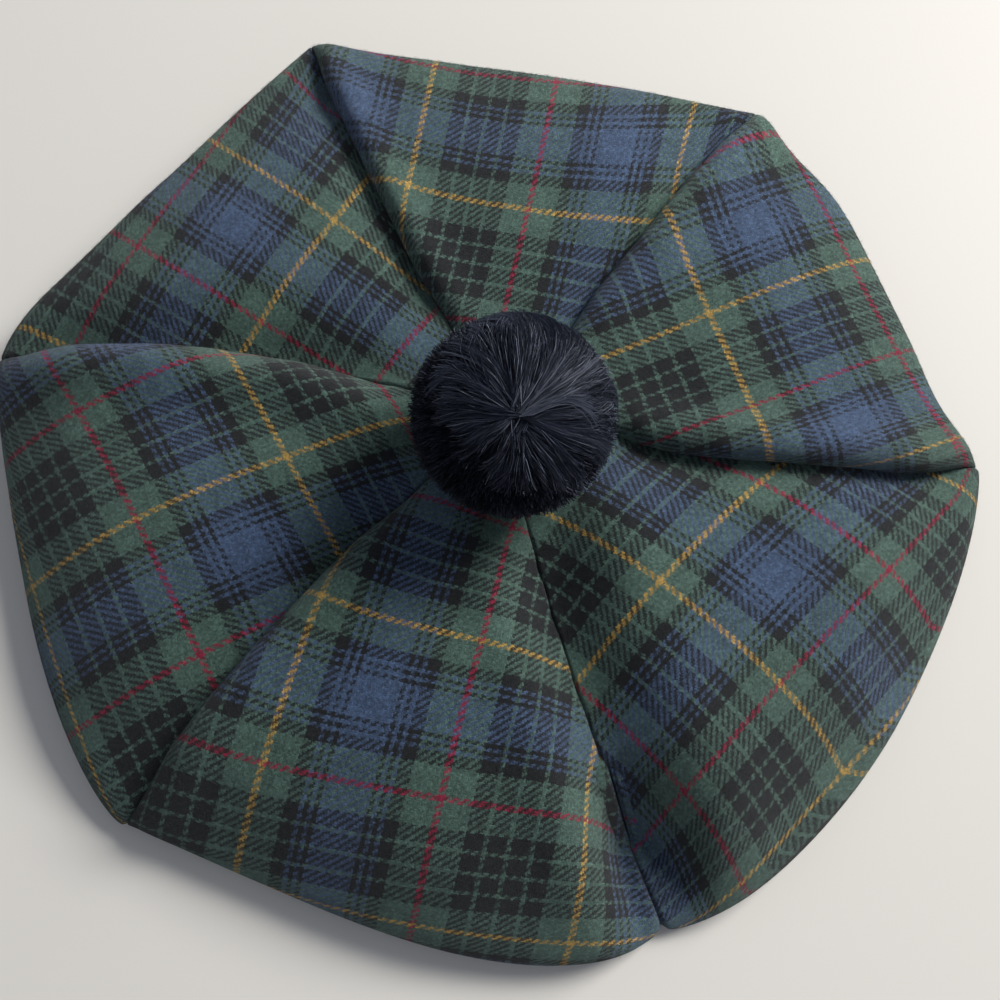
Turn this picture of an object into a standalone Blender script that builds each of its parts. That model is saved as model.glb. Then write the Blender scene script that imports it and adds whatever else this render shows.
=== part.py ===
"""A tartan tam: six cloth gores, a doubled headband and a yarn pompom, lying on its headband."""

import math
from collections import namedtuple

import bmesh
import bpy
from mathutils import Vector

MM = 0.001

# Sizes that can each be set by themselves
crown_reach = 145.0 * MM
crown_space = 10.5 * MM
cloth = 1.6 * MM
head_width = 180.0 * MM
band_height = 19.0 * MM
band_wall = 3.0 * MM
rim_clearance = 1.2 * MM
point_radius = 7.0 * MM
pompom_width = 52.0 * MM
pompom_height = 46.0 * MM
lock_depth = 3.2 * MM
seam_gap = 0.3 * MM

# The crown's cloth passes over the underside's cloth, which lies on the headband's top edge
crown_height = band_height + seam_gap + 2.0 * cloth + crown_space
band_inner = 0.5 * head_width
band_outer = band_inner + band_wall

# Crown centre and pompom, off the middle of the outline, as shares of the crown's reach
crown_centre = Vector((0.024, 0.002)) * crown_reach
pompom_lean = Vector((0.024, -0.045)) * crown_reach

# One row for each seam, clockwise seen from above. Lengths are shares of the crown's reach,
# heights and dips are shares of the crown's height. "before" is the gore that ends at the seam.
Seam = namedtuple(
    "Seam",
    "turn reach bow dip_inner dip_outer before_slope before_ridge after_slope after_ridge rim_top rim_under",
)
SEAMS = [
    Seam(114.5, 1.006, -0.010, 0.08, 0.16, 0.110, 0.00, 0.046, 0.08, 0.66, 0.24),
    Seam(52.7, 0.946, 0.011, 0.09, 0.20, 0.120, 0.00, 0.048, 0.10, 0.62, 0.20),
    Seam(-3.3, 0.976, 0.034, 0.10, 0.24, 0.044, 0.11, 0.120, 0.00, 0.50, 0.08),
    Seam(-71.9, 0.952, 0.000, 0.11, 0.22, 0.130, 0.00, 0.060, 0.06, 0.32, 0.00),
    Seam(-132.9, 1.018, 0.016, 0.11, 0.14, 0.046, 0.09, 0.110, 0.00, 0.36, 0.00),
    Seam(170.5, 1.046, 0.046, 0.10, 0.18, 0.060, 0.13, 0.120, 0.00, 0.54, 0.14),
]

# One row for each gore, from its first seam clockwise to the next. The bulge is a share of the
# gore's width at the rim, and lies at the share "peak" of that width.
Gore = namedtuple("Gore", "name bulge peak fullness puff rim_top rim_under")
GORES = [
    Gore("gore_top", -0.018, 0.50, 1.0, 0.03, 0.74, 0.26),
    Gore("gore_right_far", 0.032, 0.30, 4.0, 0.05, 0.62, 0.16),
    Gore("gore_right_near", 0.129, 0.57, 0.60, 0.06, 0.42, 0.02),
    Gore("gore_near", 0.106, 0.32, 1.1, 0.08, 0.36, 0.00),
    Gore("gore_left_near", 0.068, 0.38, 0.80, 0.07, 0.42, 0.02),
    Gore("gore_left_far", 0.023, 0.12, 4.0, 0.04, 0.66, 0.20),
]

# How the cloth is divided for the mesh
COLUMNS = 14
CROWN_ROWS = 10
ROLL_ROWS = 5
UNDER_ROWS = 6

# How the crown falls to the rim: its height drops with this power of the distance
FALL_POWER = 4.6
CENTRE_DIMPLE = 0.05
RIDGE_PLACE = 1.9

# How late the underside climbs from the rim to the headband
CLIMB_POWER = 1.8

# The pompom's middle lies this share of its height above its flat foot, and its locks lean by
# up to this share of its half width
FOOT_SHARE = 0.43
LOCK_LEAN = 0.05


def ease(value):
    value = min(1.0, max(0.0, value))
    return value * value * (3.0 - 2.0 * value)


def seam_pair(index):
    return SEAMS[index], SEAMS[(index + 1) % len(SEAMS)]


def corner(seam):
    angle = math.radians(seam.turn)
    return crown_centre + Vector((math.cos(angle), math.sin(angle))) * seam.reach * crown_reach


def bow(seam, along):
    """Sideways shift of a seam, towards the clockwise side."""
    angle = math.radians(seam.turn)
    side = Vector((math.sin(angle), -math.cos(angle)))
    return side * seam.bow * crown_reach * math.sin(math.pi * along)


def rim_point(index, across):
    """Plan point of the outline, across from the gore's first seam to its next."""
    first, last = (corner(seam) for seam in seam_pair(index))
    chord = last - first
    outward = Vector((-chord.y, chord.x))
    gore = GORES[index]
    warped = across ** (math.log(0.5) / math.log(gore.peak))
    lift = max(0.0, math.sin(math.pi * warped)) ** gore.fullness
    return first + chord * across + outward * gore.bulge * lift


def plan_point(index, across, along):
    first, last = seam_pair(index)
    straight = crown_centre.lerp(rim_point(index, across), along)
    return straight + bow(first, along) * (1.0 - across) + bow(last, along) * across


def rim_height(index, across, column):
    """A rim height between the seams' values at both ends and the gore's own in the middle."""
    first, last = seam_pair(index)
    end = first if across < 0.5 else last
    near_end = 0.5 + 0.5 * math.cos(2.0 * math.pi * across)
    middle = getattr(GORES[index], column)
    return (middle + (getattr(end, column) - middle) * near_end) * crown_height


def fold_height(index, across, along):
    """Puff of the gore, with the dips and ridges beside its two seams."""
    first, last = seam_pair(index)
    width = (corner(last) - corner(first)).length * along
    envelope = ease((along - 0.06) / 0.26) * (1.0 - 0.7 * ease((along - 0.86) / 0.14))
    height = GORES[index].puff * math.sin(math.pi * across) ** 2
    sides = (
        (first, first.after_slope, first.after_ridge, across * width),
        (last, last.before_slope, last.before_ridge, (1.0 - across) * width),
    )
    for seam, slope, ridge, distance in sides:
        dip = seam.dip_inner + (seam.dip_outer - seam.dip_inner) * ease((along - 0.62) / 0.26)
        reach = slope * crown_reach
        height -= dip * math.exp(-((distance / reach) ** 1.5))
        crest = (distance - RIDGE_PLACE * reach) / (1.4 * reach)
        height += ridge * math.exp(-crest * crest) * (1.0 - math.exp(-distance / reach))
    return height * envelope * crown_height


def crown_surface(index, across, along, share):
    """Outer face of the crown; share runs from 0 at the centre to 1 where the rim's roll begins."""
    top = rim_height(index, across, "rim_top")
    height = crown_height + (top - crown_height) * share ** FALL_POWER
    height -= CENTRE_DIMPLE * crown_height * (1.0 - ease(along / 0.18))
    height += fold_height(index, across, along)
    plan = plan_point(index, across, along)
    return Vector((plan.x, plan.y, height))


def cloth_column(index, across):
    """Outer face of the cloth from the crown's centre, round the rim and back to the headband."""
    span = (rim_point(index, across) - crown_centre).length
    under = rim_clearance + rim_height(index, across, "rim_under")
    roll = 0.5 * (rim_height(index, across, "rim_top") - under)
    roll_start = 1.0 - roll / span
    start = point_radius / span
    column = []
    for row in range(CROWN_ROWS + 1):
        share = row / CROWN_ROWS
        along = start + (roll_start - start) * share
        column.append(crown_surface(index, across, along, share))
    edge = column[-1]
    middle = 0.5 * (edge.z + under)
    half = 0.5 * (edge.z - under)
    for row in range(1, ROLL_ROWS + 1):
        angle = math.pi * row / ROLL_ROWS
        along = roll_start + math.sin(angle) * (1.0 - roll_start)
        plan = plan_point(index, across, along)
        column.append(Vector((plan.x, plan.y, middle + half * math.cos(angle))))
    turn_in = column[-1]
    seat_height = band_height + seam_gap
    direction = Vector((turn_in.x, turn_in.y)).normalized()
    seat = direction * (band_outer + seam_gap + cloth)
    for row in range(1, UNDER_ROWS):
        share = row / (UNDER_ROWS - 1)
        plan = Vector((turn_in.x, turn_in.y)).lerp(seat, share)
        column.append(Vector((plan.x, plan.y, under + (seat_height - under) * ease(share) ** CLIMB_POWER)))
    end = direction * (band_inner + 0.3 * band_wall)
    column.append(Vector((end.x, end.y, seat_height)))
    return column


def column_place(step):
    """Share of the gore's width at which a column lies; columns are closer beside the seams."""
    even = step / COLUMNS
    drawn_in = 0.5 - 0.5 * math.cos(math.pi * even)
    return 0.35 * even + 0.65 * drawn_in


def outer_grid():
    """The whole outer face, one list of points for each column, with a column on every seam."""
    columns = []
    for index in range(len(GORES)):
        for step in range(COLUMNS):
            columns.append(cloth_column(index, column_place(step)))
    return columns


def seam_side(index):
    """Level direction square to a seam, clockwise."""
    angle = math.radians(SEAMS[index % len(SEAMS)].turn)
    return Vector((math.sin(angle), -math.cos(angle), 0.0))


def inner_grid(columns):
    """The same face moved inwards by the cloth's thickness, at a seam in the seam's own plane."""
    count = len(columns)
    rows = len(columns[0])
    moved = []
    for index, column in enumerate(columns):
        before = columns[index - 1]
        after = columns[(index + 1) % count]
        on_seam = index % COLUMNS == 0
        inner = []
        for row in range(rows):
            around = seam_side(index // COLUMNS) if on_seam else after[row] - before[row]
            along = column[min(row + 1, rows - 1)] - column[max(row - 1, 0)]
            normal = along.cross(around).normalized()
            inner.append(column[row] + normal * cloth)
        moved.append(inner)
    return moved


def gore_faces(index, grid):
    """One gore's columns of a grid, moved away from its two seams by half the gap there."""
    first = index * COLUMNS
    half = 0.5 * seam_gap
    picked = []
    for step in range(COLUMNS + 1):
        across = column_place(step)
        shift = seam_side(index) * half * (1.0 - across) - seam_side(index + 1) * half * across
        picked.append([point + shift for point in grid[(first + step) % len(grid)]])
    return picked


def plain_material(name, colour, roughness):
    material = bpy.data.materials.new(name)
    material.use_nodes = True
    shader = material.node_tree.nodes["Principled BSDF"]
    shader.inputs["Base Color"].default_value = (*colour, 1.0)
    shader.inputs["Roughness"].default_value = roughness
    shader.inputs["Metallic"].default_value = 0.0
    return material


def finish_object(name, bm, material, smooth_angle):
    bmesh.ops.recalc_face_normals(bm, faces=bm.faces)
    mesh = bpy.data.meshes.new(name)
    bm.to_mesh(mesh)
    bm.free()
    mesh.shade_smooth()
    mesh.set_sharp_from_angle(angle=smooth_angle)
    mesh.materials.append(material)
    piece = bpy.data.objects.new(name, mesh)
    bpy.context.scene.collection.objects.link(piece)
    return piece


def build_gore(index, outer, inner, material):
    """One gore: an outer and an inner face of cloth, closed round all four edges."""
    bm = bmesh.new()
    faces = [gore_faces(index, outer), gore_faces(index, inner)]
    layers = [[[bm.verts.new(point) for point in column] for column in face] for face in faces]
    rows = len(layers[0][0])
    for layer in layers:
        for left, right in zip(layer, layer[1:]):
            for row in range(rows - 1):
                bm.faces.new((left[row], left[row + 1], right[row + 1], right[row]))
    top, bottom = layers
    for column in (0, COLUMNS):
        for row in range(rows - 1):
            bm.faces.new((top[column][row], top[column][row + 1], bottom[column][row + 1], bottom[column][row]))
    for row in (0, rows - 1):
        for column in range(COLUMNS):
            bm.faces.new((top[column][row], top[column + 1][row], bottom[column + 1][row], bottom[column][row]))
    bmesh.ops.triangulate(bm, faces=bm.faces, quad_method="SHORT_EDGE")
    return finish_object(GORES[index].name, bm, material, math.radians(50.0))


def build_headband(material):
    """A doubled strip of cloth, turned round the head opening, with a flat lower edge."""
    sides = 64
    fold = 0.35 * band_wall
    profile = [
        (band_inner, 0.0),
        (band_outer, 0.0),
        (band_outer, band_height - fold),
        (band_outer - fold, band_height),
        (band_inner + fold, band_height),
        (band_inner, band_height - fold),
    ]
    bm = bmesh.new()
    corners = [bm.verts.new((radius, 0.0, height)) for radius, height in profile]
    edges = [bm.edges.new((corners[i], corners[(i + 1) % len(corners)])) for i in range(len(corners))]
    bmesh.ops.spin(
        bm,
        geom=corners + edges,
        cent=(0.0, 0.0, 0.0),
        axis=(0.0, 0.0, 1.0),
        angle=2.0 * math.pi,
        steps=sides,
        use_merge=True,
    )
    return finish_object("headband", bm, material, math.radians(40.0))


def build_pompom(material, seat_height):
    """A ball of yarn locks fused to one head, flat where it is sewn down on the crown."""
    centre = Vector((crown_centre.x + pompom_lean.x, crown_centre.y + pompom_lean.y, 0.0))
    centre.z = seat_height + FOOT_SHARE * pompom_height
    bm = bmesh.new()
    bmesh.ops.create_icosphere(bm, subdivisions=3, radius=1.0)
    tips = list(bm.verts)
    for number, vertex in enumerate(tips):
        uneven = 0.5 + 0.5 * math.sin(number * 12.9898)
        twist = LOCK_LEAN * math.sin(number * 4.1)
        vertex.co = vertex.co.normalized() * (1.0 - 0.07 * uneven)
        vertex.co.x += twist
    poked = bmesh.ops.poke(bm, faces=bm.faces)
    hollow = 1.0 - 2.0 * lock_depth / pompom_width
    for vertex in poked["verts"]:
        vertex.co = vertex.co.normalized() * hollow
    for vertex in bm.verts:
        vertex.co.x *= 0.5 * pompom_width
        vertex.co.y *= 0.5 * pompom_width
        vertex.co.z *= 0.5 * pompom_height
        vertex.co += centre
        vertex.co.z = max(vertex.co.z, seat_height)
    return finish_object("pompom", bm, material, math.radians(20.0))


def foot_rise(distance):
    """How high the pompom's underside lies above its flat foot, this far from its middle."""
    share = min(1.0, distance / (0.5 * pompom_width * (1.0 + LOCK_LEAN)))
    return max(0.0, pompom_height * (FOOT_SHARE - 0.5 * math.sqrt(1.0 - share * share)))


def sewn_down_height(columns):
    """The height at which the pompom clears the crown that it is sewn on."""
    foot = crown_centre + pompom_lean
    crown_rows = [point for column in columns for point in column[: CROWN_ROWS + 1]]
    return seam_gap + max(point.z - foot_rise((point.xy - foot).length) for point in crown_rows)


def centre_on_outline(pieces):
    """Moves all pieces so that the outline's middle is at the origin."""
    points = [vertex.co for piece in pieces for vertex in piece.data.vertices]
    middle_x = 0.5 * (min(point.x for point in points) + max(point.x for point in points))
    middle_y = 0.5 * (min(point.y for point in points) + max(point.y for point in points))
    for point in points:
        point.x -= middle_x
        point.y -= middle_y


for old in list(bpy.data.objects):
    bpy.data.objects.remove(old, do_unlink=True)

tartan = plain_material("tartan_wool", (0.040, 0.075, 0.085), 0.95)
band_cloth = plain_material("headband_cloth", (0.030, 0.045, 0.055), 0.95)
yarn = plain_material("pompom_yarn", (0.012, 0.014, 0.026), 0.9)

outer_columns = outer_grid()
inner_columns = inner_grid(outer_columns)
pieces = [build_gore(index, outer_columns, inner_columns, tartan) for index in range(len(GORES))]
pieces.append(build_headband(band_cloth))
pieces.append(build_pompom(yarn, sewn_down_height(outer_columns)))
centre_on_outline(pieces)
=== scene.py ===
"""A tartan tam with a yarn pompom, lying on its headband: cloth, yarn and stitching over the solids."""

import math
import random
from collections import namedtuple

import bmesh
import bpy
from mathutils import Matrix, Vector, noise


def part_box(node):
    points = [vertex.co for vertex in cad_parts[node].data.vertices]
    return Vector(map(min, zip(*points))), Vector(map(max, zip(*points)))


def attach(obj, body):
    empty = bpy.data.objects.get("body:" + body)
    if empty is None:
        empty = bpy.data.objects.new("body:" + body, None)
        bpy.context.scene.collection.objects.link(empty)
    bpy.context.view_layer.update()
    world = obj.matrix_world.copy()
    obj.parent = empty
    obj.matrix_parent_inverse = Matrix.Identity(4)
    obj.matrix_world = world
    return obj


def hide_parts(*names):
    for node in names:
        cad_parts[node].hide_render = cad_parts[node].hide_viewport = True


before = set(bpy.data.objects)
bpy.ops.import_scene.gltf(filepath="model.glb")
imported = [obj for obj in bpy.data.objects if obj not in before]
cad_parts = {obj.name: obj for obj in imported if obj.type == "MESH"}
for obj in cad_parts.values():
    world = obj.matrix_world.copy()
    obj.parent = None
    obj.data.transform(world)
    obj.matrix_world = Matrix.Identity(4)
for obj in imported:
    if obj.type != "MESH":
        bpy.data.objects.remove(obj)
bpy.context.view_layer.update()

# Gores
# Six wedges of brushed wool twill in a tartan check, cut with the warp along each wedge and seamed
# edge to edge. Each puffs up between its seams, lies over or dips under its neighbour, rolls under
# at the rim and runs back to the headband, where it is gathered on.
crown_reach = 0.145
band_low, band_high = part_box("headband")
band_middle = (band_low + band_high) / 2.0
band_height = band_high.z
band_outer = (band_high.x - band_low.x) / 2.0
band_wall = 0.003
band_inner = band_outer - band_wall
seam_gap = 0.0003
solid_wall = 0.0016
cloth_wall = 0.0014
crown_height = band_height + seam_gap + 2.0 * solid_wall + 0.0105
rim_clearance = 0.0012
point_radius = 0.0015
crown_centre = Vector((0.024, 0.002)) * crown_reach
least_hollow = 0.0025
settling = 0.0008

# One row for each seam, clockwise seen from above. Lengths are shares of the crown's reach, heights
# and dips shares of its height. "before" is the gore that ends at the seam, and a lap is how far
# that side's fold leans over the seam.
Seam = namedtuple(
    "Seam",
    "turn reach bow dip_inner dip_outer before_slope before_ridge before_lap"
    " after_slope after_ridge after_lap rim_top rim_under",
)
SEAMS = [
    Seam(114.5, 1.006, -0.010, 0.16, 0.22, 0.090, 0.00, 0.000, 0.024, 0.10, 0.038, 0.66, 0.24),
    Seam(52.7, 0.946, 0.011, 0.16, 0.36, 0.090, 0.00, 0.000, 0.026, 0.12, 0.046, 0.62, 0.20),
    Seam(-3.3, 0.976, 0.034, 0.20, 0.36, 0.026, 0.12, 0.060, 0.100, 0.00, 0.000, 0.50, 0.08),
    Seam(-71.9, 0.971, 0.020, 0.20, 0.60, 0.075, 0.11, 0.000, 0.045, 0.08, 0.000, 0.34, 0.00),
    Seam(-132.9, 1.018, 0.016, 0.20, 0.22, 0.030, 0.12, 0.048, 0.090, 0.00, 0.000, 0.36, 0.00),
    Seam(170.5, 1.046, 0.046, 0.22, 0.32, 0.036, 0.18, 0.047, 0.100, 0.00, 0.000, 0.54, 0.14),
]

# One row for each gore, from its first seam clockwise to the next. A tuck draws the rim in beside
# both corners.
Gore = namedtuple("Gore", "name bulge peak fullness tuck puff rim_top rim_under")
GORES = [
    Gore("gore_top", -0.018, 0.50, 1.0, 0.000, 0.03, 0.74, 0.26),
    Gore("gore_right_far", 0.036, 0.30, 4.0, 0.027, 0.05, 0.62, 0.16),
    Gore("gore_right_near", 0.129, 0.57, 0.60, 0.000, 0.06, 0.42, 0.02),
    Gore("gore_near", 0.106, 0.32, 1.1, 0.000, 0.08, 0.36, 0.00),
    Gore("gore_left_near", 0.068, 0.38, 0.80, 0.000, 0.07, 0.42, 0.02),
    Gore("gore_left_far", 0.023, 0.12, 4.0, 0.000, 0.04, 0.66, 0.20),
]

# How the check lies on each gore, in threads: its place at the crown's centre, then per hundred
# threads of the cut cloth, with the cloth's give where it was steamed over its neighbours.
# The numbers are not a hand-set design: nearly all are the results of a separate least-squares
# program, fed with points of the check's lines that were read off the photo by eye.
Check = namedtuple(
    "Check",
    "across wide lean fan across_bow across_swell along skew long shear along_bow along_swell",
)
CHECKS = [
    Check(78, 112, -18, -8, 3, 0, -118, 15, 115, -8, -10, -18),
    Check(150, 126, 7, -7, -3, 24, -114, 10, 102, -3, -6, -9),
    Check(105, 116, 35, -11, -13, 0, -106, 4, 85, 7, 6, -5),
    Check(96, 107, -6, -8, 0, -3, -130, 12, 124, -10, -7, 3),
    Check(136, 112, 4, -6, 0, -3, -122, -28, 128, 5, -11, -7),
    Check(93, 132, 21, -13, -7, 4, -127, 6, 104, -9, -5, -8),
]

COLUMNS = 96
CROWN_ROWS = 96
ROLL_ROWS = 22
UNDER_ROWS = 26
ROWS = CROWN_ROWS + ROLL_ROWS + UNDER_ROWS
FALL_POWER = 4.6
CENTRE_DIMPLE = 0.05
RIDGE_PLACE = 1.9
CLIMB_POWER = 1.8


def ease(value):
    value = min(1.0, max(0.0, value))
    return value * value * (3.0 - 2.0 * value)


def seam_pair(index):
    return SEAMS[index], SEAMS[(index + 1) % len(SEAMS)]


def seam_side(seam):
    """Level direction square to a seam, clockwise."""
    angle = math.radians(seam.turn)
    return Vector((math.sin(angle), -math.cos(angle)))


def corner(seam):
    angle = math.radians(seam.turn)
    return crown_centre + Vector((math.cos(angle), math.sin(angle))) * seam.reach * crown_reach


def rim_point(index, across):
    """Plan point of the outline, across from the gore's first seam to its next."""
    first, last = (corner(seam) for seam in seam_pair(index))
    chord = last - first
    outward = Vector((-chord.y, chord.x))
    gore = GORES[index]
    warped = across ** (math.log(0.5) / math.log(gore.peak))
    lift = gore.bulge * max(0.0, math.sin(math.pi * warped)) ** gore.fullness
    for place in (0.14, 0.86):
        lift -= gore.tuck * math.exp(-(((across - place) / 0.11) ** 2)) * math.sin(math.pi * across)
    return first + chord * across + outward * lift


def plan_point(index, across, along):
    first, last = seam_pair(index)
    bend = math.sin(math.pi * along) * crown_reach
    straight = crown_centre.lerp(rim_point(index, across), along)
    shift = seam_side(first) * first.bow * (1.0 - across) + seam_side(last) * last.bow * across
    return straight + shift * bend


def rim_height(index, across, column):
    """A rim height between the seams' values at both ends and the gore's own in the middle."""
    first, last = seam_pair(index)
    end = first if across < 0.5 else last
    near_end = 0.5 + 0.5 * math.cos(2.0 * math.pi * across)
    middle = getattr(GORES[index], column)
    return (middle + (getattr(end, column) - middle) * near_end) * crown_height


def fold(index, across, along):
    """Height of the gore's puff, dips and ridges, and how far its folds lean over the seams."""
    first, last = seam_pair(index)
    width = (corner(last) - corner(first)).length * along
    envelope = ease((along - 0.10) / 0.28) * (1.0 - 0.7 * ease((along - 0.86) / 0.14))
    height = GORES[index].puff * math.sin(math.pi * across) ** 2
    lean = Vector((0.0, 0.0))
    sides = (
        (first, first.after_slope, first.after_ridge, first.after_lap, across * width, -1.0),
        (last, last.before_slope, last.before_ridge, last.before_lap, (1.0 - across) * width, 1.0),
    )
    for seam, slope, ridge, lap, distance, towards in sides:
        dip = seam.dip_inner + (seam.dip_outer - seam.dip_inner) * ease((along - 0.62) / 0.26)
        reach = slope * crown_reach
        height -= dip * math.exp(-((distance / reach) ** 1.5))
        crest = (distance - RIDGE_PLACE * reach) / (1.4 * reach)
        hump = math.exp(-crest * crest) * (1.0 - math.exp(-distance / reach))
        height += ridge * hump
        carried = (1.0 - math.exp(-distance / (0.6 * reach))) * math.exp(-((distance / (3.0 * reach)) ** 2))
        lean += seam_side(seam) * towards * lap * crown_reach * carried * envelope
    return height * envelope * crown_height, lean


def pucker(index, across, along):
    """Small unevenness of the cloth: soft waves beside the seams and a slow swell all over."""
    first, last = seam_pair(index)
    width = (corner(last) - corner(first)).length * along
    run = along * crown_reach
    height = 0.0
    for number, distance in ((index, across * width), (index + 7, (1.0 - across) * width)):
        phase = 5.0 * noise.noise(Vector((run * 30.0, number * 3.7, 0.0)))
        wave = math.sin(run / 0.0024 + phase + 2.0 * number)
        height += 0.00035 * wave * math.exp(-distance / 0.008)
    plan = plan_point(index, across, along)
    height += 0.0012 * noise.noise(Vector((plan.x * 22.0, plan.y * 22.0, 5.0)))
    height += 0.0005 * noise.noise(Vector((plan.x * 55.0, plan.y * 55.0, 9.0)))
    return height * ease((along - 0.1) / 0.1)


def crown_surface(index, across, along, share):
    """Outer face of the crown; share runs from 0 at the centre to 1 where the rim's roll begins."""
    top = rim_height(index, across, "rim_top")
    height = crown_height + (top - crown_height) * share ** FALL_POWER
    height -= CENTRE_DIMPLE * crown_height * (1.0 - ease(along / 0.18))
    raised, lean = fold(index, across, along)
    plan = plan_point(index, across, along) + lean
    height += raised + pucker(index, across, along)
    # The crown can't sink into the cloth that lies under it
    lowest = rim_clearance + rim_height(index, across, "rim_under") + 2.0 * cloth_wall + least_hollow
    height = lowest + settling * math.log1p(math.exp(min(50.0, (height - lowest) / settling)))
    return Vector((plan.x, plan.y, height))


def relax(column, first, last, passes):
    """Evens out a stretch of one column, so that the crown runs into the roll without a kink."""
    for _ in range(passes):
        kept = [point.copy() for point in column]
        for row in range(first, last):
            column[row] = kept[row].lerp((kept[row - 1] + kept[row + 1]) / 2.0, 0.5)


def cloth_column(index, across):
    """Outer face of the cloth from the crown's centre, round the rim and back to the headband.

    Also returns the column's plan without the lean of the folds, to lay out the cut cloth by.
    """
    span = (rim_point(index, across) - crown_centre).length
    under = rim_clearance + rim_height(index, across, "rim_under")
    roll = 0.5 * (rim_height(index, across, "rim_top") - under)
    roll_start = 1.0 - roll / span
    start = point_radius / span
    column = []
    unleaned = []
    for row in range(CROWN_ROWS + 1):
        share = row / CROWN_ROWS
        along = start + (roll_start - start) * share
        column.append(crown_surface(index, across, along, share))
        unleaned.append(plan_point(index, across, along))
    edge = column[-1]
    lean = edge.xy - plan_point(index, across, roll_start)
    middle = 0.5 * (edge.z + under)
    half = 0.5 * (edge.z - under)
    for row in range(1, ROLL_ROWS + 1):
        angle = math.pi * row / ROLL_ROWS
        along = roll_start + math.sin(angle) * (1.0 - roll_start)
        plan = plan_point(index, across, along) + lean * (1.0 - row / ROLL_ROWS)
        column.append(Vector((plan.x, plan.y, middle + half * math.cos(angle))))
    turn_in = column[-1]
    seat_height = band_height + seam_gap
    direction = turn_in.xy.normalized()
    seat = direction * (band_outer + seam_gap + solid_wall)
    for row in range(1, UNDER_ROWS):
        share = row / (UNDER_ROWS - 1)
        plan = turn_in.xy.lerp(seat, share)
        gather = 0.0009 * math.sin(across * math.pi * 26.0) * ease((share - 0.45) / 0.5)
        gather *= 0.6 + 0.8 * noise.noise(Vector((across * 9.0, index * 2.3, share)))
        climb = under + (seat_height - under) * ease(share) ** CLIMB_POWER
        column.append(Vector((plan.x, plan.y, climb + gather * math.sin(math.pi * across) ** 0.5)))
    end = direction * (band_inner + 0.3 * band_wall)
    column.append(Vector((end.x, end.y, seat_height)))
    unleaned += [point.xy for point in column[CROWN_ROWS + 1 :]]
    relax(column, CROWN_ROWS - 12, CROWN_ROWS + 10, 30)
    relax(column, CROWN_ROWS + ROLL_ROWS - 6, ROWS - 4, 12)
    return column, unleaned


def column_place(step):
    """Share of the gore's width at which a column lies; columns are closer beside the seams."""
    even = step / COLUMNS
    return 0.35 * even + 0.65 * (0.5 - 0.5 * math.cos(math.pi * even))


stitched_gap = 0.00004
seam_rounding = 0.0012
seam_depth = 0.0007


def into_crown(row, point):
    """Direction from the cloth's outer face into the hollow: down, round the roll, then up."""
    angle = math.pi * min(1.0, max(0.0, (row - CROWN_ROWS) / ROLL_ROWS))
    level = point.xy.normalized() * math.sin(angle)
    return Vector((-level.x, -level.y, -math.cos(angle)))


def turned_down(index, columns):
    """Draws both edges of a gore back by half the stitched gap, and rounds them down into the seam."""
    first, last = seam_pair(index)
    for step, column in enumerate(columns):
        across = column_place(step)
        shift = seam_side(first) * (1.0 - across) - seam_side(last) * across
        for row, point in enumerate(column):
            point.xy += shift * 0.5 * stitched_gap
    for edge, order in ((0, 1), (COLUMNS, -1)):
        for row in range(CROWN_ROWS + ROLL_ROWS):
            stitched_edge = columns[edge][row].copy()
            for step in range(14):
                point = columns[edge + order * step][row]
                distance = (point - stitched_edge).length
                if distance < seam_rounding:
                    point += into_crown(row, point) * (seam_depth * (1.0 - distance / seam_rounding) ** 2)


def flatten(index, columns, plans):
    """The cut cloth's own flat places: x across the warp and y along it, from the wedge's point."""
    middle = COLUMNS // 2
    outward = (rim_point(index, 0.5) - crown_centre).normalized()
    sideways = Vector((outward.y, -outward.x))
    flat = [[None] * (ROWS + 1) for _ in columns]
    length = point_radius
    for row in range(ROWS + 1):
        if row:
            length += (columns[middle][row] - columns[middle][row - 1]).length
        curl = 1.0 - ease((row - CROWN_ROWS) / (ROLL_ROWS + UNDER_ROWS))
        flat[middle][row] = Vector((0.0, length))
        for order in (1, -1):
            place = Vector((0.0, length))
            step = middle
            while 0 <= step + order <= COLUMNS:
                hop = columns[step + order][row] - columns[step][row]
                level = plans[step + order][row] - plans[step][row]
                course = Vector((level.dot(sideways), curl * level.dot(outward)))
                if course.length > 0.0:
                    place = place + course.normalized() * hop.length
                step += order
                flat[step][row] = place
    return flat


thread_pitch = 0.000555
yarn_relief = 0.00025
allowance = 0.006
FLAP_COLUMNS = 3


def with_allowances(index, columns, flat):
    """Adds the seam allowances: a narrow flap along both edges, turned into the crown."""
    first, last = seam_pair(index)
    widened = [list(column) for column in columns]
    widened_flat = [list(column) for column in flat]
    for edge, inner, side in ((0, 1, seam_side(first)), (COLUMNS, COLUMNS - 1, -seam_side(last))):
        for number in range(1, FLAP_COLUMNS + 1):
            share = number / FLAP_COLUMNS
            flap = []
            flap_flat = []
            for row in range(ROWS + 1):
                start = columns[edge][row]
                trimmed = 1.0 - 0.75 * ease((row / CROWN_ROWS - 0.72) / 0.2)
                depth = allowance * ease(row / (0.3 * CROWN_ROWS)) * trimmed
                lean = Vector((side.x, side.y, 0.0)) * 0.0004 * share
                flap.append(start + into_crown(row, start) * depth * share + lean)
                course = (flat[edge][row] - flat[inner][row]).normalized()
                flap_flat.append(flat[edge][row] + course * depth * share)
            place = 0 if edge == 0 else len(widened)
            widened.insert(place, flap)
            widened_flat.insert(place, flap_flat)
    return widened, widened_flat


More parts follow.
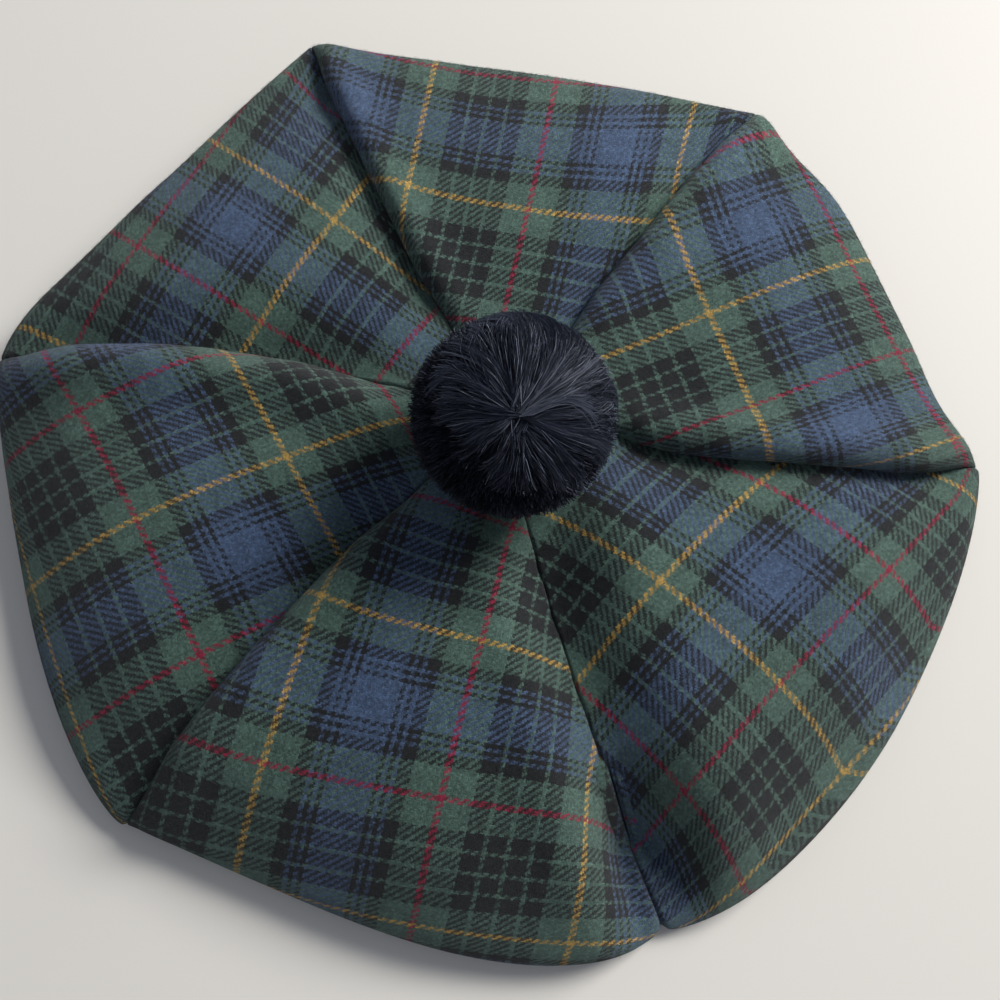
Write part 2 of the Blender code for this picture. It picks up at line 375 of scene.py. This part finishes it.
def check_place(index, cut):
    """Where a place of the cut cloth lies in the check, in threads across and along."""
    check = CHECKS[index]
    x = cut.x / thread_pitch / 100.0
    y = cut.y / thread_pitch / 100.0
    near_x = min(1.2, max(-1.2, x))
    near_y = min(2.4, y)
    across = check.across + check.wide * x + check.lean * y + check.fan * near_x * near_y
    across += check.across_bow * near_y ** 2 + check.across_swell * near_x ** 2
    along = check.along + check.skew * x + check.long * y + check.shear * near_x * near_y
    along += check.along_bow * near_y ** 2 + check.along_swell * near_x ** 2
    return across, along


# The check, the same in warp and weft: one repeat of coloured threads
GOLD, GREEN, BLACK, BLUE, RED = range(5)
YARNS = {
    GOLD: (0.450, 0.285, 0.072),
    GREEN: (0.074, 0.134, 0.108),
    BLACK: (0.010, 0.012, 0.014),
    BLUE: (0.062, 0.102, 0.188),
    RED: (0.270, 0.016, 0.046),
}
SETT = [
    (GOLD, 3), (GREEN, 13), (BLACK, 8), (GREEN, 2), (BLACK, 8), (GREEN, 2), (BLACK, 8), (GREEN, 2),
    (BLACK, 8), (GREEN, 12), (RED, 3), (GREEN, 13), (BLACK, 6), (BLUE, 2), (BLACK, 2), (BLUE, 2),
    (BLACK, 2), (BLUE, 20), (BLACK, 2), (BLUE, 2), (BLACK, 2), (BLUE, 2), (BLACK, 6), (GREEN, 12),
]
REPEAT = sum(threads for _, threads in SETT)


class Wiring:
    """Adds nodes to a tree and joins them, so that a material reads from top to bottom."""

    def __init__(self, tree):
        self.tree = tree

    def node(self, kind, inputs=(), **settings):
        node = self.tree.nodes.new(kind)
        for name, value in settings.items():
            setattr(node, name, value)
        for socket, value in dict(inputs).items():
            if isinstance(value, bpy.types.NodeSocket):
                self.tree.links.new(value, node.inputs[socket])
            else:
                node.inputs[socket].default_value = value
        return node

    def math(self, operation, *values):
        return self.node("ShaderNodeMath", dict(enumerate(values)), operation=operation).outputs[0]

    def mix(self, factor, first, second):
        mixed = self.node("ShaderNodeMix", {0: factor, 6: first, 7: second}, data_type="RGBA")
        return mixed.outputs[2]

    def blend(self, factor, first, second):
        return self.node("ShaderNodeMix", {0: factor, 2: first, 3: second}).outputs[0]

    def ramp(self, factor, stops, interpolation="LINEAR"):
        node = self.node("ShaderNodeValToRGB", {0: factor})
        node.color_ramp.interpolation = interpolation
        while len(node.color_ramp.elements) < len(stops):
            node.color_ramp.elements.new(1.0)
        for element, (position, colour) in zip(node.color_ramp.elements, stops):
            element.position = position
            element.color = (*colour, 1.0)
        return node.outputs[0]


def new_group(name, inputs, outputs):
    """A shader group with named sockets; returns its wiring, input sockets and output node."""
    tree = bpy.data.node_groups.new(name, "ShaderNodeTree")
    for socket, kind in inputs:
        tree.interface.new_socket(socket, in_out="INPUT", socket_type=kind)
    for socket, kind in outputs:
        tree.interface.new_socket(socket, in_out="OUTPUT", socket_type=kind)
    wiring = Wiring(tree)
    return wiring, wiring.node("NodeGroupInput").outputs, wiring.node("NodeGroupOutput")


def sett_stops():
    stops = []
    place = 0
    for yarn, threads in SETT:
        stops.append((place / REPEAT, YARNS[yarn]))
        place += threads
    return stops


def make_tartan_group():
    """Twill woven from the sett in both directions, with each thread's own shade and roundness."""
    w, given, out = new_group(
        "tartan_twill",
        [("Cloth", "NodeSocketVector")],
        [("Colour", "NodeSocketColor"), ("Height", "NodeSocketFloat")],
    )
    cloth = w.node("ShaderNodeSeparateXYZ", {0: given["Cloth"]})
    # Hairy yarn blurs the edge between one thread and the next
    hair = w.node(
        "ShaderNodeTexNoise", {"Vector": given["Cloth"], "Scale": 0.8, "Detail": 4.0, "Roughness": 0.7}
    )
    stray = w.node("ShaderNodeSeparateXYZ", {0: hair.outputs["Color"]})
    warp = w.math("ADD", cloth.outputs[0], w.math("MULTIPLY_ADD", stray.outputs[0], 3.6, -1.8))
    weft = w.math("SUBTRACT", w.math("MULTIPLY_ADD", stray.outputs[1], 3.6, -1.8), cloth.outputs[1])
    colours = []
    shades = []
    for threads, seed in ((warp, 3.7), (weft, 8.1)):
        number = w.math("FLOOR", threads)
        inside_thread = w.math("ADD", number, 0.78)
        share = w.math("FRACT", w.math("DIVIDE", inside_thread, float(REPEAT)))
        colours.append(w.ramp(share, sett_stops(), "CONSTANT"))
        odd = w.node("ShaderNodeTexWhiteNoise", {"W": w.math("ADD", number, seed)}, noise_dimensions="1D")
        shades.append(odd.outputs["Value"])
    step = w.math("FLOORED_MODULO", w.math("ADD", w.math("FLOOR", warp), w.math("FLOOR", weft)), 4.0)
    warp_up = w.math("LESS_THAN", step, 1.5)
    woven = w.mix(warp_up, colours[1], colours[0])
    both = w.mix(0.5, colours[0], colours[1])
    specks = w.node("ShaderNodeTexNoise", {"Vector": given["Cloth"], "Scale": 1.6, "Detail": 2.0})
    brushed = w.mix(w.math("MULTIPLY", specks.outputs[0], 0.55), woven, both)
    shade = w.blend(warp_up, shades[1], shades[0])
    crossing = w.node("ShaderNodeCombineXYZ", {0: w.math("FLOOR", warp), 1: w.math("FLOOR", weft)})
    each = w.node("ShaderNodeTexWhiteNoise", {"Vector": crossing.outputs[0]}, noise_dimensions="2D")
    # Fibres lie along whichever thread is on top
    fibres = []
    for across, along in ((0.5, 2.6), (2.6, 0.5)):
        stretch = {0: given["Cloth"], 1: (across, along, 1.0)}
        place = w.node("ShaderNodeVectorMath", stretch, operation="MULTIPLY")
        grain = w.node("ShaderNodeTexNoise", {"Vector": place.outputs[0], "Scale": 1.0, "Detail": 3.0})
        fibres.append(grain.outputs[0])
    fibre = w.blend(warp_up, fibres[0], fibres[1])
    heather = w.node("ShaderNodeTexNoise", {"Vector": given["Cloth"], "Scale": 0.05, "Detail": 4.0})
    # Each float is rounded across, for the bump and for painted highlight on its back and painted shade
    # where it dives under the next
    round_warp = w.math("MULTIPLY", w.math("PINGPONG", warp, 0.5), 2.0)
    round_weft = w.math("MULTIPLY", w.math("PINGPONG", weft, 0.5), 2.0)
    ribs = w.math("SQRT", w.blend(warp_up, round_weft, round_warp))
    value = w.math("ADD", w.math("MULTIPLY", shade, 0.25), w.math("MULTIPLY", fibre, 1.10))
    value = w.math("ADD", value, w.math("MULTIPLY", heather.outputs[0], 0.35))
    # Painted highlight and painted shade of the rounded floats, in the colour
    value = w.math("ADD", value, w.math("MULTIPLY", ribs, 0.45))
    value = w.math("ADD", value, w.math("MULTIPLY", w.math("POWER", each.outputs["Value"], 2.0), 0.60))
    value = w.math("SUBTRACT", value, 0.42)
    shaded = w.node("ShaderNodeHueSaturation", {"Value": value, "Color": brushed}).outputs[0]
    height = w.math("ADD", ribs, w.math("MULTIPLY", fibre, 0.9))
    w.tree.links.new(shaded, out.inputs["Colour"])
    w.tree.links.new(height, out.inputs["Height"])
    return w.tree


def new_material(name, roughness):
    """An empty material with its shader: returns the material, its wiring and the shader."""
    material = bpy.data.materials.new(name)
    material.use_nodes = True
    shader = material.node_tree.nodes["Principled BSDF"]
    shader.inputs["Roughness"].default_value = roughness
    shader.inputs["Specular IOR Level"].default_value = 0.25
    return material, Wiring(material.node_tree), shader


def make_tartan_wool():
    material, w, shader = new_material("tartan_wool", 0.9)
    cloth = w.node("ShaderNodeAttribute", attribute_name="cloth")
    weave = w.node("ShaderNodeGroup", {}, node_tree=make_tartan_group())
    w.tree.links.new(cloth.outputs["Vector"], weave.inputs["Cloth"])
    bump = w.node(
        "ShaderNodeBump", {"Strength": 0.8, "Distance": yarn_relief, "Height": weave.outputs["Height"]}
    )
    w.tree.links.new(weave.outputs["Colour"], shader.inputs["Base Color"])
    w.tree.links.new(bump.outputs[0], shader.inputs["Normal"])
    shader.inputs["Sheen Weight"].default_value = 0.12
    shader.inputs["Sheen Roughness"].default_value = 0.5
    return material


def put_in_scene(name, bm, material):
    """Makes the finished piece, smooth shaded, with its place in its mesh."""
    mesh = bpy.data.meshes.new(name)
    bm.to_mesh(mesh)
    bm.free()
    mesh.shade_smooth()
    mesh.materials.append(material)
    piece = bpy.data.objects.new(name, mesh)
    bpy.context.scene.collection.objects.link(piece)
    return piece


def build_gore(index, material):
    """One wedge from a grid, its columns across and its rows along the cloth; returns its flat cut."""
    gore = GORES[index]
    pairs = [cloth_column(index, column_place(step)) for step in range(COLUMNS + 1)]
    columns = [column for column, _ in pairs]
    turned_down(index, columns)
    flat = flatten(index, columns, [plan for _, plan in pairs])
    columns, flat = with_allowances(index, columns, flat)
    last_column = len(columns) - 1
    bm = bmesh.new()
    bmesh.ops.create_grid(bm, x_segments=last_column, y_segments=ROWS, size=0.5)
    cloth = bm.loops.layers.uv.new("cloth")
    places = {}
    for vertex in bm.verts:
        step = round((vertex.co.x + 0.5) * last_column)
        row = round((vertex.co.y + 0.5) * ROWS)
        places[vertex] = check_place(index, flat[step][row])
        vertex.co = columns[step][row]
        vertex.co.xy += band_middle.xy
    for face in bm.faces:
        for loop in face.loops:
            loop[cloth].uv = places[loop.vert]
    bmesh.ops.recalc_face_normals(bm, faces=bm.faces)
    highest = max(bm.faces, key=lambda face: face.calc_center_median().z)
    if highest.normal.z < 0.0:
        bmesh.ops.reverse_faces(bm, faces=bm.faces)
    piece = put_in_scene("cloth_" + gore.name, bm, material)
    wall = piece.modifiers.new("cloth wall", "SOLIDIFY")
    wall.thickness = cloth_wall
    wall.offset = -1.0
    area = 0.0
    for step in range(last_column):
        for row in range(ROWS):
            along = flat[step][row + 1] - flat[step][row]
            across = flat[step + 1][row] - flat[step][row]
            area += abs(across.cross(along))
    return piece, [point for column in flat for point in column], area


tartan_wool = make_tartan_wool()
gores = []
for index, gore in enumerate(GORES):
    piece, cut, area = build_gore(index, tartan_wool)
    length = max(point.y for point in cut) - min(point.y for point in cut)
    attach(piece, "root")
    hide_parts(gore.name)
    gores.append(piece)

# Nap
# The brushed surface of the twill: short fine wool fibres, teased out of the yarn and left curling
# over the cloth. They take the colour of the check where they stand.
nap_fibres = 14000
nap_radius = 0.000028
nap_shortest, nap_longest = 0.0007, 0.0020
nap_lowest = 0.0003


def build_strands(name, paths, facts, radius, material):
    """Fine strands along their paths, as one mesh, with each strand's facts kept in an attribute."""
    curve = bpy.data.curves.new(name, "CURVE")
    curve.dimensions = "3D"
    curve.extrude = radius
    for path in paths:
        spline = curve.splines.new("POLY")
        spline.points.add(len(path) - 1)
        for point, (place, size, tilt) in zip(spline.points, path):
            point.co = (*place, 1.0)
            point.radius = size
            point.tilt = tilt
    holder = bpy.data.objects.new(name, curve)
    bpy.context.scene.collection.objects.link(holder)
    evaluated = holder.evaluated_get(bpy.context.evaluated_depsgraph_get())
    mesh = bpy.data.meshes.new_from_object(evaluated)
    bpy.data.objects.remove(holder)
    bpy.data.curves.remove(curve)
    mesh.name = name
    values = []
    for path, fact in zip(paths, facts):
        values.extend(fact * (2 * len(path)))
    attribute = mesh.attributes.new("strand", "FLOAT_VECTOR", "POINT")
    attribute.data.foreach_set("vector", values)
    mesh.shade_smooth()
    mesh.materials.clear()
    mesh.materials.append(material)
    piece = bpy.data.objects.new(name, mesh)
    bpy.context.scene.collection.objects.link(piece)
    return piece


tartan_nap, w, shader = new_material("tartan_nap", 0.85)
strand = w.node("ShaderNodeAttribute", attribute_name="strand")
weave = w.node("ShaderNodeGroup", {}, node_tree=bpy.data.node_groups["tartan_twill"])
w.tree.links.new(strand.outputs["Vector"], weave.inputs["Cloth"])
lifted = w.mix(0.30, weave.outputs["Colour"], (0.34, 0.39, 0.40, 1.0))
w.tree.links.new(lifted, shader.inputs["Base Color"])

draw = random.Random(41)
for gore, piece in zip(GORES, gores):
    mesh = piece.data
    cloth = mesh.uv_layers["cloth"].data
    paths = []
    facts = []
    areas = [polygon.area for polygon in mesh.polygons]
    for polygon in draw.choices(mesh.polygons, areas, k=nap_fibres):
        first, second, third = (draw.random() for _ in range(3))
        total = first + second + third
        shares = (first / total, second / total, third / total)
        corners = [mesh.vertices[number].co for number in polygon.vertices[:3]]
        spots = [cloth[loop].uv for loop in polygon.loop_indices[:3]]
        root = sum((corner * share for corner, share in zip(corners, shares)), Vector((0.0, 0.0, 0.0)))
        spot = sum((spot * share for spot, share in zip(spots, shares)), Vector((0.0, 0.0)))
        normal = polygon.normal
        chance = Vector((draw.gauss(0.0, 1.0), draw.gauss(0.0, 1.0), draw.gauss(0.0, 1.0)))
        level = normal.cross(chance).normalized()
        bend = normal.cross(level) * draw.uniform(-0.6, 0.6)
        length = draw.uniform(nap_shortest, nap_longest)
        lift = draw.uniform(0.15, 0.65)
        path = []
        for step in (0.0, 0.5, 1.0):
            rise = normal * (lift * step * (1.0 - 0.55 * step))
            place = root + (level * step + bend * step * step + rise) * length
            place.z = max(nap_lowest, place.z)
            path.append((place, 1.0 - 0.6 * step, 0.0))
        paths.append(path)
        facts.append((spot.x, spot.y, 0.0))
    nap = build_strands("nap_" + gore.name, paths, facts, nap_radius, tartan_nap)
    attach(nap, "root")

# Pompom
# A ball of cut wool yarn, bound in the middle, trimmed round and sewn down on the crown. From its
# whorl the top strands lie outwards over the cut ends below.
pompom_low, pompom_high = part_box("pompom")
pompom_middle = (pompom_low + pompom_high) / 2.0 + Vector((0.0004, -0.0026, 0.0))
pompom_radius = (pompom_high.x - pompom_low.x) / 2.0 * 1.03
whorl_lean = Vector((0.04, -0.29, 0.95)).normalized()
yarn_sinks = 0.0030
clumps = 110
clumps_under = 40
strands_in_clump = 60
wisp_strands = 110
combed_radius = 0.00014
cut_ends = 17000
cut_root = 0.74
cut_radius = 0.00016
light_turn = math.radians(45.0)

pompom_yarn, w, shader = new_material("pompom_yarn", 0.62)
strand = w.node("ShaderNodeAttribute", attribute_name="strand")
shade = w.node("ShaderNodeSeparateXYZ", {0: strand.outputs["Vector"]}).outputs[0]
# Each strand's tone picks its colour: the yarn's own navy in the middle, darker towards painted shade and
# paler towards painted highlight
yarn_colour_and_light = w.ramp(
    shade,
    [(0.0, (0.003, 0.004, 0.006)), (0.45, (0.052, 0.062, 0.094)), (1.0, (0.300, 0.330, 0.400))],
)
w.tree.links.new(yarn_colour_and_light, shader.inputs["Base Color"])


def pompom_place(direction, share):
    """A point of the ball in a direction from its middle, at a share of the way to the surface."""
    half = (pompom_high.z - pompom_low.z) / 2.0
    place = Vector((direction.x * pompom_radius, direction.y * pompom_radius, direction.z * half)) * share
    place += pompom_middle
    place.z = max(place.z, pompom_low.z - yarn_sinks)
    return place


def around_whorl(tilt, turn):
    """Direction from the ball's middle at a tilt from the whorl and a turn round it, from +X to +Y."""
    front = whorl_lean.cross(Vector((1.0, 0.0, 0.0))).normalized()
    side = front.cross(whorl_lean)
    return whorl_lean * math.cos(tilt) + (side * math.cos(turn) + front * math.sin(turn)) * math.sin(tilt)


def within(value):
    return min(1.0, max(0.0, value))


# Its bound middle, almost hidden by the yarn
bm = bmesh.new()
bmesh.ops.create_icosphere(bm, subdivisions=5, radius=1.0)
for vertex in bm.verts:
    rough = 0.80 + 0.05 * noise.noise(vertex.co * 9.0)
    vertex.co = pompom_place(vertex.co.normalized(), rough)
# It has no strand tone, so it takes the yarn's darkest colour: painted shade in the gaps between the
# strands
pompom_core = put_in_scene("pompom_core", bm, pompom_yarn)
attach(pompom_core, "root")
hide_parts("pompom")

# Long combed strands: clumps that start at the whorl and lie outwards, short towards the band
top_paths = []
top_facts = []
for clump in range(clumps):
    middle_turn = draw.uniform(0.0, 2.0 * math.pi)
    under = clump < clumps_under
    towards_light = math.cos(middle_turn - light_turn)
    reach = math.radians(56.0 + 26.0 * towards_light + draw.gauss(0.0, 3.0) + (6.0 if under else 0.0))
    upward = max(0.0, math.sin(middle_turn)) ** 2
    curl = draw.gauss(0.0, 0.10 + 0.30 * upward)
    height = 0.90 + (0.0 if under else 0.06) + draw.uniform(-0.02, 0.03)
    # Tone: lighter on the side towards the window, painted light; under clumps darker, painted shade
    # beneath the top strands; the rest differs at random
    tone = 0.56 + 0.08 * towards_light + draw.gauss(0.0, 0.08) - (0.22 if under else 0.0)
    spread = draw.uniform(0.07, 0.16)
    origin = Vector((draw.gauss(0.0, 0.05), draw.gauss(0.0, 0.03), 0.0))
    phase = draw.uniform(0.0, 6.0)
    for _ in range(strands_in_clump):
        turn = middle_turn + draw.gauss(0.0, spread * 0.6)
        own_curl = curl + draw.gauss(0.0, 0.05)
        own_height = height + draw.gauss(0.0, 0.012)
        start = math.radians(draw.uniform(1.0, 7.0))
        stop = reach * draw.gauss(1.0, 0.05)
        path = []
        for number in range(7):
            step = number / 6.0
            tilt = start + (stop - start) * step
            rise = own_height - 0.05 * (1.0 - step) ** 3 + 0.02 * math.sin(math.pi * step)
            twist = own_curl * step * step + 0.03 * math.sin(7.0 * step + phase)
            heading = around_whorl(tilt, turn + twist) + origin * (1.0 - step) ** 2
            place = pompom_place(heading.normalized(), rise)
            path.append((place, 1.0 - 0.4 * step, draw.uniform(-0.7, 0.7)))
        top_paths.append(path)
        top_facts.append((within(tone + draw.gauss(0.0, 0.08)), 0.0, 0.0))
# One loose wisp over the whorl, tight at first, then splaying, drawn pale as a painted highlight on the
# raised bundle
for _ in range(wisp_strands):
    path = []
    beside = draw.gauss(0.0, 0.014)
    splay = draw.gauss(0.0, 0.30)
    length = draw.choice((0.42, 0.46, 0.9, 1.0))
    lift = draw.uniform(0.0, 0.02)
    for number in range(8):
        step = length * number / 7.0
        tilt = math.radians(46.0) * step
        loose = max(0.0, step - 0.38)
        turn = math.radians(25.0 - 22.0 * loose) + beside / max(0.12, math.sin(tilt)) + splay * loose
        rise = 1.06 + lift - 0.06 * (1.0 - step) ** 4 - 0.14 * loose
        path.append((pompom_place(around_whorl(tilt, turn), rise), 1.0, draw.uniform(-0.5, 0.5)))
    top_paths.append(path)
    top_facts.append((within(1.0 - 0.15 * length + draw.gauss(0.0, 0.04)), 0.0, 0.0))
pompom_top = build_strands("pompom_combed_strands", top_paths, top_facts, combed_radius, pompom_yarn)
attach(pompom_top, "root")

# Cut ends all round the rest of the ball, pointing outwards
side_paths = []
side_facts = []
for _ in range(cut_ends):
    turn = draw.uniform(0.0, 2.0 * math.pi)
    tilt = math.acos(draw.uniform(-0.95, 0.88))
    direction = around_whorl(tilt, turn)
    tuft = noise.noise(direction * 6.0)
    towards_light = math.cos(turn - light_turn) * math.sin(tilt)
    end = 0.955 + 0.035 * tuft + draw.gauss(0.0, 0.014) + 0.16 * max(0.0, -direction.z) ** 2
    stray = Vector((draw.gauss(0.0, 0.05), draw.gauss(0.0, 0.05), draw.gauss(0.0, 0.05)))
    path = []
    for number in range(3):
        step = number / 2.0
        heading = (direction + stray * step).normalized()
        place = pompom_place(heading, cut_root + (end - cut_root) * step)
        path.append((place, 1.0 - 0.2 * step, draw.uniform(-1.5, 1.5)))
    side_paths.append(path)
    # Tone: dark, partly the cut ends' own darkness and partly painted shade; lighter towards the window,
    # painted light; tufts that stand out lighter and the hollows between them darker, painted light and
    # shade
    side_facts.append((within(0.24 + 0.14 * towards_light + 0.25 * tuft + draw.gauss(0.0, 0.06)), 0.0, 0.0))
pompom_sides = build_strands("pompom_cut_ends", side_paths, side_facts, cut_radius, pompom_yarn)
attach(pompom_sides, "root")

# Headband
# A doubled strip of plain dark wool, folded at its lower edge, turned round the head opening and
# stitched near the fold. The crown's cloth is gathered on to its upper edge.
headband_cloth, w, shader = new_material("headband_cloth", 0.9)
place = w.node("ShaderNodeTexCoord").outputs["Object"]
rib = w.node(
    "ShaderNodeTexWave",
    {"Vector": place, "Scale": 420.0, "Distortion": 1.5, "Detail": 2.0},
    bands_direction="DIAGONAL",
)
fluff = w.node("ShaderNodeTexNoise", {"Vector": place, "Scale": 900.0, "Detail": 4.0})
tone = w.blend(0.6, rib.outputs["Fac"], fluff.outputs[0])
band_colour = w.ramp(tone, [(0.25, (0.006, 0.008, 0.014)), (0.8, (0.020, 0.026, 0.044))])
w.tree.links.new(band_colour, shader.inputs["Base Color"])
raised = w.node("ShaderNodeBump", {"Strength": 0.6, "Distance": 0.0002, "Height": tone})
w.tree.links.new(raised.outputs[0], shader.inputs["Normal"])

bm = bmesh.new()
corners = []
fold_radius = band_wall / 2.0
middle_radius = (band_inner + band_outer) / 2.0
profile = [(band_inner, band_height), (band_inner, band_height * 0.5)]
for number in range(9):
    angle = math.pi * number / 8.0
    profile.append((middle_radius - fold_radius * math.cos(angle), fold_radius * (1.0 - math.sin(angle))))
profile += [
    (band_outer, band_height * 0.5),
    (band_outer, band_height),
    (middle_radius + 0.0001, band_height),
    (middle_radius, band_height - 0.0012),
    (middle_radius - 0.0001, band_height),
]
for radius, height in profile:
    corners.append(bm.verts.new((radius, 0.0, height)))
for number, vertex in enumerate(corners):
    bm.edges.new((vertex, corners[(number + 1) % len(corners)]))
bmesh.ops.spin(
    bm, geom=bm.verts[:] + bm.edges[:], cent=(0.0, 0.0, 0.0), axis=(0.0, 0.0, 1.0),
    angle=2.0 * math.pi, steps=240, use_merge=True,
)
for vertex in bm.verts:
    turn = math.atan2(vertex.co.y, vertex.co.x)
    wave = 0.00025 * noise.noise(Vector((math.cos(turn) * 6.0, math.sin(turn) * 6.0, vertex.co.z * 60.0)))
    vertex.co.xy *= 1.0 + wave / middle_radius
    vertex.co.xy += band_middle.xy
bmesh.ops.recalc_face_normals(bm, faces=bm.faces)
headband = put_in_scene("headband_strip", bm, headband_cloth)
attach(headband, "root")
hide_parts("headband")

# A row of machine stitches in navy thread, above the fold, outside and inside
stitches = 150
stitch_height = 0.004
stitch_radius = 0.00022
stitch_paths = []
stitch_facts = []
for radius in (band_inner - 0.0001, band_outer + 0.0001):
    for number in range(stitches):
        path = []
        for step in (0.1, 0.3, 0.5, 0.7, 0.9):
            angle = 2.0 * math.pi * (number + step * 0.85) / stitches
            bulge = 0.0002 * math.sin(math.pi * step) * (1.0 if radius > middle_radius else -1.0)
            place = Vector((math.cos(angle), math.sin(angle), 0.0)) * (radius + bulge)
            path.append((place + Vector((band_middle.x, band_middle.y, stitch_height)), 1.0, 0.0))
        stitch_paths.append(path)
        stitch_facts.append((0.45, 0.0, 0.0))
headband_stitches = build_strands(
    "headband_stitches", stitch_paths, stitch_facts, stitch_radius, pompom_yarn
)
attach(headband_stitches, "root")

# Floor, light and camera
# A plain pale table for the hat to lie on, soft daylight from a window at the upper right, and a
# camera that looks down on the crown from a little in front of it.
bm = bmesh.new()
bmesh.ops.create_grid(bm, x_segments=1, y_segments=1, size=1.5)
table_top, w, shader = new_material("table_top", 0.6)
shader.inputs["Base Color"].default_value = (0.72, 0.695, 0.645, 1.0)
floor = put_in_scene("floor", bm, table_top)

key = bpy.data.lights.new("window", "AREA")
key.shape = "RECTANGLE"
key.size = 0.8
key.size_y = 0.7
key.energy = 48.0
key.color = (1.0, 0.98, 0.95)
window = bpy.data.objects.new("window", key)
window.location = (1.25, 0.85, 1.10)
window.rotation_euler = (Vector((0.0, 0.0, 0.0)) - window.location).to_track_quat("-Z", "Y").to_euler()
bpy.context.scene.collection.objects.link(window)

world = bpy.data.worlds.new("room")
world.use_nodes = True
world.node_tree.nodes["Background"].inputs[0].default_value = (0.80, 0.86, 1.0, 1.0)
world.node_tree.nodes["Background"].inputs[1].default_value = 0.30
bpy.context.scene.world = world

camera_target = Vector((band_middle.x + 0.0043, band_middle.y - 0.0155, 0.0))
camera_distance = 0.289
camera_tilt = math.radians(14.5)
lens_pixels = 963.0
frame_pixels = 1000.0
lens = bpy.data.cameras.new("camera")
lens.sensor_width = 36.0
lens.lens = lens.sensor_width * lens_pixels / frame_pixels
lens.clip_start = 0.01
camera = bpy.data.objects.new("camera", lens)
back = Vector((0.0, -math.sin(camera_tilt), math.cos(camera_tilt)))
camera.location = camera_target + back * camera_distance
camera.rotation_euler = (camera_tilt, 0.0, 0.0)
bpy.context.scene.collection.objects.link(camera)
bpy.context.scene.camera = camera
bpy.context.scene.view_settings.view_transform = "Standard"
